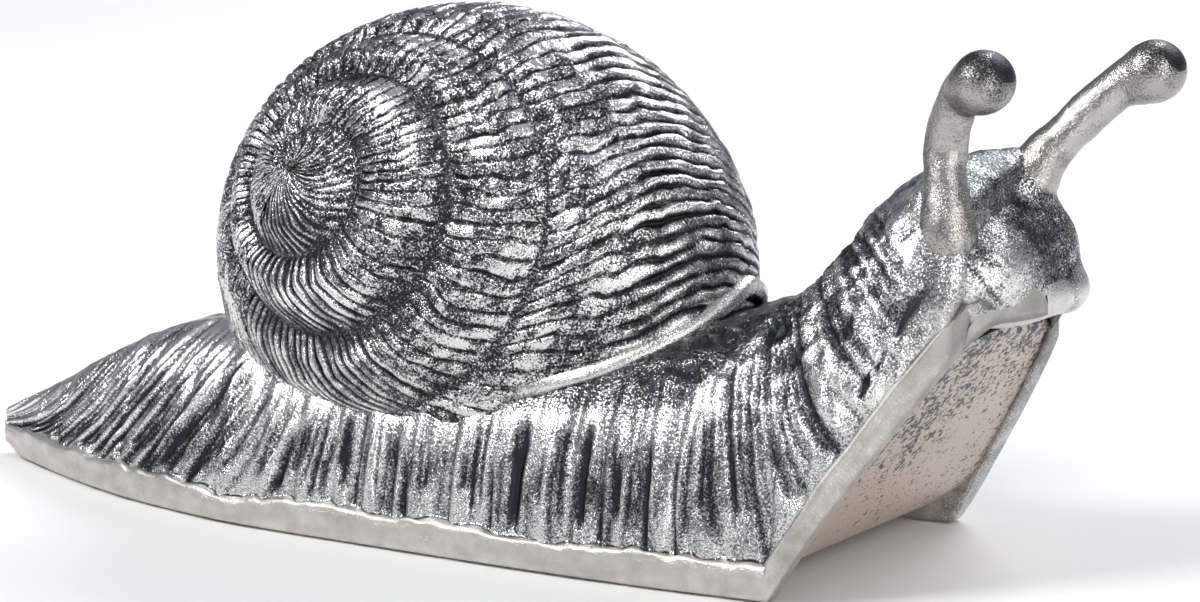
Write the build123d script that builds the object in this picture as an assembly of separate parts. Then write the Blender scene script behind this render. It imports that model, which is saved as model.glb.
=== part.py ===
# Cast aluminium garden snail: a hollow foot with neck and head, a coiled shell
# seated on it, two pinned eye stalks, and a sole plate let into the rim.
# Millimetres. X runs forward to the head, Y to the snail's left, Z up.
# Origin: on the ground under the middle of the foot.
import os
from math import cos, exp, radians, sin, tan

from build123d import *

os.makedirs("parts", exist_ok=True)

# Foot and neck: the ground outline, the vertical rim band and the lifted front
foot_length = 196.0
foot_half_width = 40.0
rim_height = 6.0
rim_width = 4.5
rim_ledge = 1.6
neck_slope = 58.0
sole_skew = 3.6
chin_height = 52.5
wall = 5.0
tail_solid = 18.0

# Each station: share of the foot's length, share of its half width, ridge height
tail_stations = [
    (-0.018, 0.03, 9.0),
    (0.03, 0.17, 13.5),
    (0.12, 0.42, 23.5),
    (0.23, 0.655, 33.0),
    (0.38, 0.84, 38.0),
    (0.56, 0.92, 40.0),
    (0.74, 0.98, 43.0),
    (0.88, 1.0, 47.5),
    (0.96, 0.99, 53.5),
]
# Each station: distance ahead of the foot's front edge, half width, ridge height
neck_stations = [
    (7.0, 39.5, 71.5),
    (15.0, 36.5, 78.0),
    (24.5, 31.0, 82.0),
    (31.0, 25.5, 79.0),
    (34.5, 20.0, 74.0),
    (37.5, 13.5, 67.5),
    (39.5, 7.0, 62.5),
]
head_shift = 2.5
# Lobes of the face: ahead of the front edge, beside the head's middle, above the chin,
# three half sizes and a turn about the upright
head_lobes = [
    (30.0, -11.5, 9.0, 9.5, 10.5, 8.8, 0.0),
    (32.0, 10.0, 10.0, 8.6, 8.0, 9.8, 0.0),
    (35.0, -3.5, 2.5, 5.0, 17.0, 4.8, -17.0),
    (38.4, 10.0, 2.8, 4.6, 4.6, 4.6, 0.0),
    (31.5, 0.0, 9.5, 7.0, 13.0, 9.0, -8.0),
]

# Main flutes of the skirt: spacing along the foot, tool radius, depth and length
flute_pitch = 14.0
flute_radius = 2.2
flute_depth = 1.3
flute_length = 19.0

# Shell: half sizes, centre, the lean of its spire and the law of its coil
shell_half_length = 59.0
shell_half_width = 37.0
shell_half_height = 52.4
shell_centre_x = 113.0
shell_centre_z = 51.3
shell_wall = 5.0
spire_yaw = 32.9
spire_pitch = 24.5
coil_start = 19.0
coil_pitch = 21.5
coil_offset = 0.2
suture_depth = 2.2
shell_clearance = 0.6
lip_height = 0.3
lip_forward = 2.0
lip_band = 4.4
lip_rise = 8.7
lip_fall = 26.0
lip_level = 43.0

# Main growth ribs of the shell: number to a full turn, slant, tool radius and depth
ribs_per_turn = 30
rib_lag = 10.0
rib_radius = 1.5
rib_depth = 1.1

# Deck that carries the shell, with its screws and washers
deck_height = 24.0
deck_thickness = 4.5
shell_screw_d = 5.0
shell_screw_grip = 12.0
shell_screw_spread = 31.0
shell_boss_d = 14.0
shell_boss_height = 20.0
washer_thickness = 1.0

# Sole plate, its screws and the felt sheet below it
sole_recess = 1.0
sole_thickness = 3.0
sole_bend = 26.0
sole_clearance = 0.25
sole_screw_d = 4.0
sole_screw_length = 12.0
sole_boss_d = 13.0
felt_margin = 3.0
felt_stand = 0.8

# Eye stalks and their pins
stalk_foot_d = 14.0
stalk_waist_d = 8.6
stalk_neck_d = 8.0
eye_d = 13.4
socket_depth = 4.0
socket_clearance = 0.2
pin_d = 4.0
pin_length = 14.0
fit_clearance = 0.05


def skirt_corners(side, low, mid_y, half, top, lean, rise, crown, band_height, ease):
    """Rim foot, rim top and the four control points of one skirt, as pairs of side place and height."""
    band = min(band_height, ease * (top - low))
    high = top - low - band
    ledge = min(rim_ledge, 0.2 * half)
    skirt = half - ledge
    return [
        (mid_y + side * half, low),
        (mid_y + side * half, low + band),
        (mid_y + side * skirt, low + band + 0.3 * ledge),
        (mid_y + side * skirt * (1 - lean), low + band + rise * high),
        (mid_y + side * skirt * crown, top),
        (mid_y, top),
    ]


def sole_level(x, y):
    """Height of the sole at a place: the ground, then the skewed slope under the neck, up to the chin."""
    skew = radians(sole_skew)
    ahead = x - foot_length - (y + foot_half_width) * tan(skew)
    return min(max(0.0, ahead * tan(radians(neck_slope)) * cos(skew)), chin_height)


def station_at(x, half, top):
    """The right and the left side of the upright section at x, each as six points."""
    share = x / foot_length
    sides = []
    for side in (-1, 1):
        if share < 1:
            steep = min(1.0, max(0.0, share / 0.3))
            shape = (0.3 - 0.22 * steep, 0.28 + 0.42 * steep, 0.42 + 0.33 * steep)
            low = 2.0 if share < 0 else 0.0
            sides.append(skirt_corners(side, low, 0.0, half, top, *shape, rim_height, 0.6))
        else:
            mid_y = head_shift * min(1.0, (x - foot_length) / 25)
            low = sole_level(x, mid_y + side * half)
            sides.append(skirt_corners(side, low, mid_y, half, top, 0.05, 0.5, 0.62, rim_height + 1.5, 0.4))
    return sides


def station_rows():
    """All stations in order as distance from the tail, half width and ridge height."""
    rows = [(share * foot_length, width * foot_half_width, top) for share, width, top in tail_stations]
    return rows + [(foot_length + ahead, width, top) for ahead, width, top in neck_stations]


def body_loft(side_inset, top_inset, drop, last=None):
    """Smooth form through all stations, drawn in by the two insets and run on below the sole."""
    faces = []
    for x, width, peak in station_rows()[:last]:
        half = max(width - side_inset, 0.6)
        low = 2.0 if x < 0 else sole_level(x, 0.0)
        right, left = station_at(x, half, max(peak - top_inset, low + 2.5))
        slack = drop if x < foot_length + 34 else 0.0
        ends = [(x, right[0][0], right[0][1] - slack), (x, left[0][0], left[0][1] - slack)]
        edges = [Line(*ends)]
        for foot, side in zip(ends, (right, left)):
            points = [(x, y, z) for y, z in side]
            edges += [Line(foot, points[1]), Line(points[1], points[2]), Bezier(*points[2:])]
        faces.append(make_face(Curve() + edges))
    return loft(faces)


def sole_line(depth, x_end):
    """Corner and upper end of the sole's side line, set in by depth from the rim's sole."""
    t = radians(neck_slope)
    corner = foot_length - depth * tan(t / 2)
    top = (x_end, (x_end - foot_length) * tan(t) + depth / cos(t))
    return (corner, depth), top


def sole_prism(depth, x_end, bend):
    """Everything below the sole's side line at the given depth, as a wide block."""
    corner, top = sole_line(depth, x_end)
    start = (-40.0, depth)
    if bend > 0:
        path = FilletPolyline(start, corner, top, radius=bend)
    else:
        path = Polyline(start, corner, top)
    floor = -60.0
    rest = Polyline(top, (x_end + 60, top[1]), (x_end + 60, floor), (-40.0, floor), start)
    side = make_face(Plane.XZ * (Curve() + [path, rest]))
    block = extrude(side, amount=2 * foot_half_width, both=True)
    pivot = Pos(foot_length, -foot_half_width, 0)
    return pivot * Rot(0, 0, -sole_skew) * pivot.inverse() * block


def ellipsoid(extra):
    """The shell's plain outer form, grown by extra on every half size."""
    sizes = (shell_half_length + extra, shell_half_width + extra, shell_half_height + extra)
    return Pos(shell_centre_x, 0, shell_centre_z) * scale(Sphere(1), by=sizes)


def slab(low, high):
    """A level block between two heights, wider than the whole part."""
    return Pos(foot_length / 2, 0, (low + high) / 2) * Box(600, 400, high - low)


def suture_angle(turn):
    """Angle from the spire's tip of the groove between whorls, after the given turn in degrees."""
    even = coil_start + coil_pitch * turn / 360
    return even * (1 - coil_offset * (1 - cos(radians(turn - 10))))


def shell_point(turn, angle, inset):
    """A point of the shell at a turn round the spire and an angle from its tip, set in by inset."""
    yaw, pitch = radians(spire_yaw), radians(spire_pitch)
    tip = Vector(-sin(yaw) * cos(pitch), -cos(yaw) * cos(pitch), sin(pitch))
    ahead = Vector(cos(yaw), -sin(yaw), 0)
    over = tip.cross(ahead)
    t, a = radians(turn), radians(angle)
    way = tip * cos(a) + (ahead * cos(t) - over * sin(t)) * sin(a)
    keep = 1 - 3 * inset / (shell_half_length + shell_half_width + shell_half_height)
    return Vector(
        shell_centre_x + shell_half_length * keep * way.X,
        shell_half_width * keep * way.Y,
        shell_centre_z + shell_half_height * keep * way.Z,
    )


def shell_section(turn):
    """Half section of the shell at one turn angle: an arc for each whorl, grooves between, and the base."""
    core = 1.6
    stops = [core] + [suture_angle(turn + 360 * k) for k in range(4)]
    insets = [suture_depth * min(1.0, stop / 20) for stop in stops]
    insets[0] = 0.0
    edges = []
    for k in range(4):
        middle = shell_point(turn, (stops[k] + stops[k + 1]) / 2, 0.0)
        first = shell_point(turn, stops[k], insets[k])
        last = shell_point(turn, stops[k + 1], insets[k + 1])
        edges.append(ThreePointArc(first, middle, last))
    rest = 180 - core - stops[4]
    base = [shell_point(turn, stops[4], insets[4])]
    for share in (0.14, 0.3, 0.5, 0.7, 0.86, 1.0):
        base.append(shell_point(turn, stops[4] + share * rest, 0.0))
    edges.append(Spline(*base))
    edges.append(Line(base[-1], shell_point(turn, core, 0.0)))
    return make_face(Curve() + edges)


# Body: outer form with its sharp sole line, then the hollow, the deck and the shell's seat
slope_run = chin_height / tan(radians(neck_slope))
run_on = 14.0
outer = body_loft(0.0, 0.0, run_on) - sole_prism(0.0, foot_length + slope_run, 0)
for ahead, beside, above, long, wide, tall, turn in head_lobes:
    lobe = Rot(0, 0, turn) * scale(Sphere(1), by=(long, wide, tall))
    outer += Pos(foot_length + ahead, head_shift + beside, chin_height + above) * lobe


def row_between(x):
    """Half width and ridge height at x, on smooth curves through the stations."""
    rows = station_rows()
    k = max(i for i in range(len(rows) - 1) if rows[i][0] <= x)
    near = rows[max(k - 1, 0) : k + 3]
    values = []
    for column in (1, 2):
        total = 0.0
        for a in near:
            part = a[column]
            for b in near:
                if b is not a:
                    part *= (x - b[0]) / (a[0] - b[0])
            total += part
        values.append(total)
    return values


def skirt_spot(x, share, side):
    """A point of the skirt at x, a share of the way from the rim to the ridge."""
    corners = station_at(x, *row_between(x))[0 if side < 0 else 1][2:]
    keep = 1 - share
    weights = (keep**3, 3 * keep**2 * share, 3 * keep * share**2, share**3)
    y = sum(w * c[0] for w, c in zip(weights, corners))
    z = sum(w * c[1] for w, c in zip(weights, corners))
    return Vector(x, y, z)


def flute_tool(x, share, lean, side):
    """A round bar laid on the skirt, sunk to the flute's depth and leaning along the foot by lean."""
    spot = skirt_spot(x, share, side)
    along = skirt_spot(x + 1, share, side) - spot
    rise = (skirt_spot(x + 0.02 * lean, share + 0.02, side) - spot).normalized()
    out = along.cross(rise).normalized()
    if out.Y * side < 0:
        out = out * -1
    lay = Plane(origin=spot + out * (flute_radius - flute_depth), x_dir=out, z_dir=rise)
    return lay * Cylinder(flute_radius, flute_length)


# Main flutes: they lean to the shell from the tail, stand upright in the middle and lean back on the neck
flutes = []
flute_count = int(0.84 * foot_length / flute_pitch)
for number in range(flute_count):
    place = 0.11 * foot_length + (number + 0.5) * flute_pitch
    share = place / foot_length
    lean = 60 * (1 - min(1.0, share / 0.45))
    for side in (-1, 1):
        flutes.append(flute_tool(place, 0.18 + 0.12 * (1 - min(1.0, share / 0.3)), lean, side))
for ahead in (6.0, 13.0, 20.0):
    for rise in (0.0, 0.22, 0.44):
        for side in (-1, 1):
            flutes.append(flute_tool(foot_length + ahead - 30 * rise, 0.24 + rise, -30, side))
outer -= flutes

seat = ellipsoid(shell_clearance) & slab(deck_height, 300)
seat_wall = ellipsoid(wall) & slab(deck_height - deck_thickness, 300)


def lip_blocks(thickness):
    """Two slabs that meet over the neck like a low roof and follow the mouth of the shell down both sides."""
    both = []
    for side in (-1, 1):
        rise, fall = tan(radians(lip_rise)), tan(radians(lip_fall))
        lay = Plane(
            origin=(shell_centre_x, 0, lip_level), x_dir=(1, 0, rise), z_dir=(-rise, side * fall, 1)
        )
        both.append(lay * Box(400, 300, thickness) & Pos(shell_centre_x, side * 150, 0) * Box(500, 300, 600))
    return both[0] + both[1]


lip_place = Pos(lip_forward, 0, 0)
lip_form = lip_place * ellipsoid(lip_height) & lip_blocks(lip_band)
lip_room = lip_place * ellipsoid(lip_height + shell_clearance) & lip_blocks(lip_band + 2 * shell_clearance)
lip_room &= slab(deck_height, 300)
hollow_top = chin_height - 3
hollow = body_loft(rim_width, wall, run_on, last=-3) & slab(-60, hollow_top)
hollow &= Pos(tail_solid, 0, 0) * Box(600, 400, 400, align=(Align.MIN, Align.CENTER, Align.CENTER))
hollow -= seat_wall

sole_top = sole_recess + sole_thickness
boss_r = sole_boss_d / 2


def half_width_at(share):
    """Half width of the foot at a share of its length, straight between stations."""
    for (a, wa, _), (b, wb, _) in zip(tail_stations, tail_stations[1:]):
        if a <= share <= b:
            return foot_half_width * (wa + (wb - wa) * (share - a) / (b - a))
    return foot_half_width


sole_spots = [(0.16 * foot_length, 0.0)]
for share in (0.42, 0.86):
    reach = half_width_at(share) - rim_width - sole_screw_d - 1.5
    sole_spots += [(share * foot_length, -reach), (share * foot_length, reach)]
body = outer - hollow
for x, y in sole_spots:
    boss = Pos(x, y, sole_top) * Cylinder(boss_r, 60, align=(Align.CENTER, Align.CENTER, Align.MIN))
    body += boss & outer & slab(-60, deck_height - 0.5)
body -= seat
body -= lip_room

# Shell: one full turn of half sections in three lofts, closed at the tip and hollowed from below
coil_from = -250
step = 30
sections = [shell_section(coil_from + step * k) for k in range(13)]
shell = loft(sections[0:5]) + loft(sections[4:9]) + loft(sections[8:13])
tip = shell_point(0, 0, 0.0)
heart = Vector(shell_centre_x, 0, shell_centre_z)
inward = (heart - tip).normalized()
shell += Pos(tip + inward * 3.0) * Sphere(4.0)
far = shell_point(0, 180, 0.0)
shell += Pos(far - inward * 6.4) * Sphere(6.0)
shell -= ellipsoid(-shell_wall)


def ribs_passed(turns):
    """Main ribs passed after a number of turns: sparse round the tip, then an even number to each turn."""
    return ribs_per_turn * (turns + 1.6 * exp(-(turns + 0.35) / 1.6))


def rib_turn(number):
    """Turn in degrees at which that many main ribs are passed, found by halving."""
    low, high = 0.0, 6.0
    for _ in range(40):
        middle = (low + high) / 2
        if ribs_passed(middle) < number:
            low = middle
        else:
            high = middle
    return coil_from + 360 * low


def rib_tool(turn, low, high, lag):
    """A round bar across one whorl between two angles from the tip, sunk to the rib's depth and slanted."""
    middle = (low + high) / 2
    spot = shell_point(turn, middle, 0.0)
    first = shell_point(turn + lag / 2, middle - (high - low) / 3, 0.0)
    last = shell_point(turn - lag / 2, middle + (high - low) / 3, 0.0)
    out = Vector(
        (spot.X - shell_centre_x) / shell_half_length**2,
        spot.Y / shell_half_width**2,
        (spot.Z - shell_centre_z) / shell_half_height**2,
    ).normalized()
    lay = Plane(origin=spot + out * (rib_radius - rib_depth), x_dir=out, z_dir=last - first)
    return lay * Cylinder(rib_radius, (last - first).length)


def outer_trail(beyond):
    """How far the outer whorl's ribs trail, in degrees of turn, at an angle beyond the last groove."""
    share = min(1.0, beyond / 60)
    return 1.1 * rib_lag * share**2 * (3 - 2 * share)


# Grooves between the main ribs: one bar across each inner whorl, three in line round the outer one
ribs = []
for number in range(int(ribs_passed(1.6)) + 1, int(ribs_passed(5.0)) + 1):
    turn = rib_turn(number)
    groove = suture_angle(turn - 360)
    bars = [(groove, suture_angle(turn), rib_lag / 2, rib_lag)]
    if turn > coil_from + 4 * 360:
        bars = []
        for start in (4, 34, 64):
            slant = outer_trail(start + 25) - outer_trail(start + 5)
            bars.append((groove + start, groove + start + 30, outer_trail(start + 15), slant))
    for low, high, trail, slant in bars:
        spot = shell_point(turn - trail, (low + high) / 2, 0.0)
        if low + high < 250 and spot.Z > deck_height + 14:
            ribs.append(rib_tool(turn - trail, low, high, slant))
print("main ribs", len(ribs))
shell -= ribs
shell += lip_form - ellipsoid(-1.0)
boss_d = shell_boss_d
shell_spots = [shell_centre_x - shell_screw_spread, shell_centre_x + shell_screw_spread]
for x, way in zip(shell_spots, (-1, 1)):
    post = Pos(x, 0, deck_height) * Cylinder(
        boss_d / 2, shell_boss_height, align=(Align.CENTER, Align.CENTER, Align.MIN)
    )
    web_mid = x + way * shell_half_length / 4
    web = Pos(web_mid, 0, deck_height + shell_boss_height / 2) * Box(shell_half_length / 2, boss_d / 2, shell_boss_height)
    shell += (post + web) & ellipsoid(-suture_depth)
shell &= slab(deck_height, 300)

# Screws that hold the shell: holes in the deck and the posts, washers under the heads
deck_low = deck_height - deck_thickness
shell_screws = []
shell_washers = []
up = (Align.CENTER, Align.CENTER, Align.MIN)
down = (Align.CENTER, Align.CENTER, Align.MAX)
head_low = deck_low - washer_thickness
for x in shell_spots:
    hole = Pos(x, 0, deck_height) * Cylinder(
        shell_screw_d / 2 + fit_clearance, shell_screw_grip + 2, align=up
    )
    shell -= hole
    passage = Pos(x, 0, deck_low - 1) * Cylinder(shell_screw_d / 2 + 0.25, deck_thickness + 2, align=up)
    body -= passage
    ring = Cylinder(shell_screw_d, washer_thickness, align=up) - Cylinder(
        shell_screw_d / 2 + 0.15, washer_thickness, align=up
    )
    shell_washers.append(Pos(x, 0, head_low) * ring)
    shank = Cylinder(shell_screw_d / 2, deck_thickness + washer_thickness + shell_screw_grip, align=up)
    head = Cylinder(0.85 * shell_screw_d, shell_screw_d, align=down)
    socket = Pos(0, 0, -shell_screw_d) * extrude(RegularPolygon(0.4 * shell_screw_d, 6), amount=0.5 * shell_screw_d)
    shell_screws.append(Pos(x, 0, head_low) * (shank + head - socket))

# Sole plate: bent sheet inside the rim, screwed to the bosses and recessed a little
plate_end = foot_length + slope_run - 4.0
plate = sole_prism(sole_top, plate_end, sole_bend - sole_thickness) - sole_prism(sole_recess, plate_end, sole_bend)
plate &= body_loft(rim_width + sole_clearance, wall, run_on, last=-3) & slab(-60, hollow_top - 0.5)
plate_start = tail_solid + sole_clearance
plate &= Pos(plate_start, 0, 0) * Box(600, 400, 400, align=(Align.MIN, Align.CENTER, Align.CENTER))

sole_screws = []
screw_r = sole_screw_d / 2
head_r = 2 * screw_r
for x, y in sole_spots:
    spot = Pos(x, y, sole_recess)
    body -= Pos(x, y, sole_top) * Cylinder(screw_r + fit_clearance, sole_screw_length - sole_thickness + 1, align=up)
    sunk = Cone(head_r + 0.1, screw_r + 0.1, head_r - screw_r, align=up)
    plate -= spot * (sunk + Cylinder(screw_r + 0.2, sole_thickness + 1, align=up))
    screw = Cone(head_r, screw_r, head_r - screw_r, align=up) + Cylinder(screw_r, sole_screw_length, align=up)
    screw -= extrude(RegularPolygon(0.55 * screw_r, 6), amount=0.5 * screw_r)
    sole_screws.append(spot * screw)

# Felt sheet stuck under the flat of the plate: the part stands on it
felt_front = foot_length - sole_bend * tan(radians(neck_slope / 2)) - felt_margin
felt_back = plate_start + felt_margin
felt_inset = rim_width + sole_clearance + felt_margin
felt_marks = [felt_back + (felt_front - felt_back) * k / 6 for k in range(7)]
felt_edge = [(x, half_width_at(x / foot_length) - felt_inset) for x in felt_marks]
mirrored = [(x, -y) for x, y in felt_edge]
felt_outline = Curve() + [
    Spline(*felt_edge),
    Line(felt_edge[-1], mirrored[-1]),
    Spline(*mirrored),
    Line(mirrored[0], felt_edge[0]),
]
felt = Pos(0, 0, -felt_stand) * extrude(make_face(felt_outline), amount=felt_stand + sole_recess)

# Eye stalks: a flat foot let into the head, a waist that bends outward, and a round tip
right_path = [(24.0, -12.8, 74.5), (24.4, -14.0, 84.0), (27.0, -15.8, 92.4), (33.8, -18.0, 100.0)]
left_path = [(28.5, 12.0, 73.8), (34.5, 15.0, 82.5), (42.5, 18.3, 91.0), (52.2, 21.3, 97.6)]


def eye_stalk(path):
    """A stalk along four points of its centre line, with its socket and pin."""
    points = [Vector(foot_length + p[0], p[1], p[2]) for p in path]
    seat_way = (points[1] - points[0]).normalized()
    base = Plane(origin=points[0], z_dir=seat_way)
    mid_way = (points[2] - points[0]).normalized()
    end_way = (points[3] - points[1]).normalized()
    rings = [
        base * Circle(stalk_foot_d / 2),
        base.offset(socket_depth) * Circle(stalk_foot_d / 2 - 0.8),
        Plane(origin=points[1], z_dir=mid_way) * Circle(stalk_waist_d / 2),
        Plane(origin=points[2], z_dir=end_way) * Circle(stalk_neck_d / 2),
        Plane(origin=points[3], z_dir=(points[3] - points[2]).normalized()) * Circle(stalk_neck_d / 2),
    ]
    stalk = loft(rings) + Pos(points[3]) * Sphere(eye_d / 2)
    bore = base.offset(-pin_length / 2) * Cylinder(pin_d / 2 + fit_clearance, pin_length, align=up)
    pin = base.offset(-pin_length / 2) * Cylinder(pin_d / 2, pin_length, align=up)
    room = base * Cylinder(stalk_foot_d / 2 + socket_clearance, 30, align=up)
    return stalk - bore, pin, room, bore


right_stalk, right_pin, right_room, right_bore = eye_stalk(right_path)
left_stalk, left_pin, left_room, left_bore = eye_stalk(left_path)
body = body - right_room - left_room - right_bore - left_bore

# Write each piece in its own file, with the origin on the ground under the middle of the foot
pieces = {
    "body_casting": [body],
    "shell_casting": [shell],
    "sole_plate": [plate],
    "right_eye_stalk": [right_stalk],
    "left_eye_stalk": [left_stalk],
    "stalk_pins": [right_pin, left_pin],
    "shell_screws": shell_screws,
    "shell_screw_washers": shell_washers,
    "sole_screws": sole_screws,
    "felt_sole": [felt],
}
shift = Pos(-foot_length / 2, 0, felt_stand)
for name, shapes in pieces.items():
    solids = []
    for shape in shapes:
        solids += (shift * shape).solids()
    export_step(Compound(children=solids) if len(solids) > 1 else solids[0], f"parts/{name}.step")
    print(name, len(solids), round(sum(s.volume for s in solids), 1))
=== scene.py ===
import bmesh
import bpy
import numpy as np
from mathutils import Matrix


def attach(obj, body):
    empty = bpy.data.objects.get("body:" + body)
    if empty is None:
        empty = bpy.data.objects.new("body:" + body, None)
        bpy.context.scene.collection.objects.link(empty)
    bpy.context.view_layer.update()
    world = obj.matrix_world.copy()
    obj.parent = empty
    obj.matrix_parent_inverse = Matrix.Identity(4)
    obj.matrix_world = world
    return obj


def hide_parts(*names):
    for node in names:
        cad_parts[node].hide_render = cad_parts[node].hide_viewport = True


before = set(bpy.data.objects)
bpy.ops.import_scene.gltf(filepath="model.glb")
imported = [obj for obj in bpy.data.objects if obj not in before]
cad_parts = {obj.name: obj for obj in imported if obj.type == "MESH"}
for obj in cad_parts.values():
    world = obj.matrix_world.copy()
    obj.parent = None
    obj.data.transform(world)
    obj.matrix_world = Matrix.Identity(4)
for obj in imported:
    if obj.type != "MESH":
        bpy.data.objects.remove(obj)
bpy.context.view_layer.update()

# Body casting. One hollow aluminium casting of foot, tail, neck and head: a ground
# rim round the sole, a skirt of radiating flutes, a crumpled neck and a blunt head.
# Sand cast, blackened, then polished on its high places.
MM = 0.001
FOOT_LENGTH = 196.0
FOOT_MID = FOOT_LENGTH / 2
FOOT_HALF_WIDTH = 40.0
FELT_STAND = 0.8
NECK_SLOPE = 58.0
CHIN = 52.5
RIM_WIDTH = 4.5
# How far the far rim's lower face rises to meet the plate
FAR_FLUSH = 1.0
CELLS = 128
WELD = 2e-6
rng = np.random.RandomState(7)
LATTICE = rng.rand(CELLS, CELLS)


def ground_frame(points):
    """Millimetres from the tail tip on the ground to metres from the middle of the foot."""
    return (points - np.array([FOOT_MID, 0.0, -FELT_STAND])) * MM


def flowing(x, knots, values):
    """Smooth curve through (knots, values): cubic pieces whose slopes are harmonic means of both sides."""
    k = np.asarray(knots, float)
    v = np.asarray(values, float)
    h = np.diff(k)
    d = np.diff(v) / h
    m = np.zeros_like(v)
    m[0], m[-1] = d[0], d[-1]
    a, b = 2 * h[1:] + h[:-1], h[1:] + 2 * h[:-1]
    same = d[1:] * d[:-1] > 0
    safe0 = np.where(same, d[:-1], 1.0)
    safe1 = np.where(same, d[1:], 1.0)
    m[1:-1] = np.where(same, (a + b) / (a / safe0 + b / safe1), 0.0)
    i = np.clip(np.searchsorted(k, x, side="right") - 1, 0, len(k) - 2)
    t = np.clip((x - k[i]) / h[i], 0.0, 1.0)
    c0 = (1 + 2 * t) * (1 - t) ** 2 * v[i] + t * t * (3 - 2 * t) * v[i + 1]
    return c0 + h[i] * (t * (1 - t) ** 2 * m[i] - t * t * (1 - t) * m[i + 1])


def ease(x, low, high):
    """Zero below low, one above high, a smooth cubic between."""
    t = np.clip((x - low) / (high - low), 0.0, 1.0)
    return t * t * (3 - 2 * t)


def grain(u, v, shift=0):
    """Smooth random field from -1 to 1: a lattice of random heights, eased between its points."""
    u, v = np.broadcast_arrays(u + 17.3 * shift, v + 9.1 * shift)
    i, j = np.floor(u).astype(int), np.floor(v).astype(int)
    a, b = u - i, v - j
    a, b = a * a * (3 - 2 * a), b * b * (3 - 2 * b)
    i, j, i_next, j_next = i % CELLS, j % CELLS, (i + 1) % CELLS, (j + 1) % CELLS
    p = LATTICE[i, j] * (1 - a) + LATTICE[i_next, j] * a
    q = LATTICE[i, j_next] * (1 - a) + LATTICE[i_next, j_next] * a
    return 2 * (p * (1 - b) + q * b) - 1


def around(points, centre, reach):
    """One at the centre, fading away from it as a bell curve over reach millimetres."""
    return np.exp(-(np.linalg.norm(points - np.array(centre), axis=-1) / reach) ** 2)


def normals(grid):
    """Unit normals of a grid of points: the cross product of its two directions."""
    n = np.cross(np.gradient(grid, axis=1), np.gradient(grid, axis=0))
    return n / np.maximum(np.linalg.norm(n, axis=2, keepdims=True), 1e-9)


def grid_faces(rows, cols, close_cols=False):
    """Four-cornered faces of a rows by cols grid, numbered row by row."""
    index = np.arange(rows * cols).reshape(rows, cols)
    if close_cols:
        index = np.concatenate([index, index[:, :1]], axis=1)
    return np.stack([index[:-1, :-1], index[:-1, 1:], index[1:, 1:], index[1:, :-1]], -1).reshape(-1, 4)


def make_piece(name, points, faces, fields, material, node):
    """A mesh from points in metres with one float field per name, welded, smooth, riding on the part."""
    mesh = bpy.data.meshes.new(name)
    mesh.from_pydata(points.reshape(-1, 3).tolist(), [], faces.tolist())
    for key, values in fields.items():
        layer = mesh.attributes.new(key, "FLOAT", "POINT")
        layer.data.foreach_set("value", values.ravel().astype(np.float32))
    work = bmesh.new()
    work.from_mesh(mesh)
    bmesh.ops.remove_doubles(work, verts=work.verts, dist=WELD)
    bmesh.ops.recalc_face_normals(work, faces=work.faces)
    work.to_mesh(mesh)
    work.free()
    mesh.shade_smooth()
    mesh.materials.append(material)
    piece = bpy.data.objects.new(name, mesh)
    bpy.context.scene.collection.objects.link(piece)
    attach(piece, "root")
    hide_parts(node)


def new_material(name):
    """An empty node material with its shader and the object's coordinates."""
    material = bpy.data.materials.new(name)
    material.use_nodes = True
    tree = material.node_tree
    shader = tree.nodes["Principled BSDF"]
    place = tree.nodes.new("ShaderNodeTexCoord").outputs["Object"]
    return material, tree, shader, place


def noise_node(tree, place, scale, detail=3.0, rough=0.55):
    """Fractal noise over the object, its size set by scale per metre."""
    node = tree.nodes.new("ShaderNodeTexNoise")
    node.inputs["Scale"].default_value = scale
    node.inputs["Detail"].default_value = detail
    node.inputs["Roughness"].default_value = rough
    tree.links.new(place, node.inputs["Vector"])
    return node.outputs["Fac"]


def sum_node(tree, a, b, gain):
    """a + gain * b."""
    node = tree.nodes.new("ShaderNodeMath")
    node.operation = "MULTIPLY_ADD"
    tree.links.new(b, node.inputs[0])
    node.inputs[1].default_value = gain
    tree.links.new(a, node.inputs[2])
    return node.outputs[0]


def centred_node(tree, value):
    """A noise from 0 to 1, moved to lie about zero."""
    node = tree.nodes.new("ShaderNodeMath")
    node.operation = "SUBTRACT"
    tree.links.new(value, node.inputs[0])
    node.inputs[1].default_value = 0.5
    return node.outputs[0]


def ramp_node(tree, value, stops):
    """Colours along a value: each stop is its place and its colour."""
    node = tree.nodes.new("ShaderNodeValToRGB")
    ramp = node.color_ramp
    while len(ramp.elements) < len(stops):
        ramp.elements.new(0.5)
    for element, (place, colour) in zip(ramp.elements, stops):
        element.position = place
        element.color = (*colour, 1.0)
    tree.links.new(value, node.inputs["Fac"])
    return node.outputs["Color"]


def bump_node(tree, shader, height, depth, strength=1.0):
    """Small relief: the height field stands up by depth metres."""
    node = tree.nodes.new("ShaderNodeBump")
    node.inputs["Strength"].default_value = strength
    node.inputs["Distance"].default_value = depth
    tree.links.new(height, node.inputs["Height"])
    tree.links.new(node.outputs["Normal"], shader.inputs["Normal"])


SPECK_SCALE = 2300.0
BLOTCH_SCALE = 230.0
SPECK_HEIGHT = 0.0003
BLACKENED, RUBBED, POLISHED = 0.34, 0.47, 0.60
SATIN_DIM = (0.54, 0.51, 0.48)
SATIN_CLEAR = (0.71, 0.68, 0.65)
ROUGH_BLACK, ROUGH_BRIGHT, ROUGH_SATIN = 0.36, 0.16, 0.2


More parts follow.
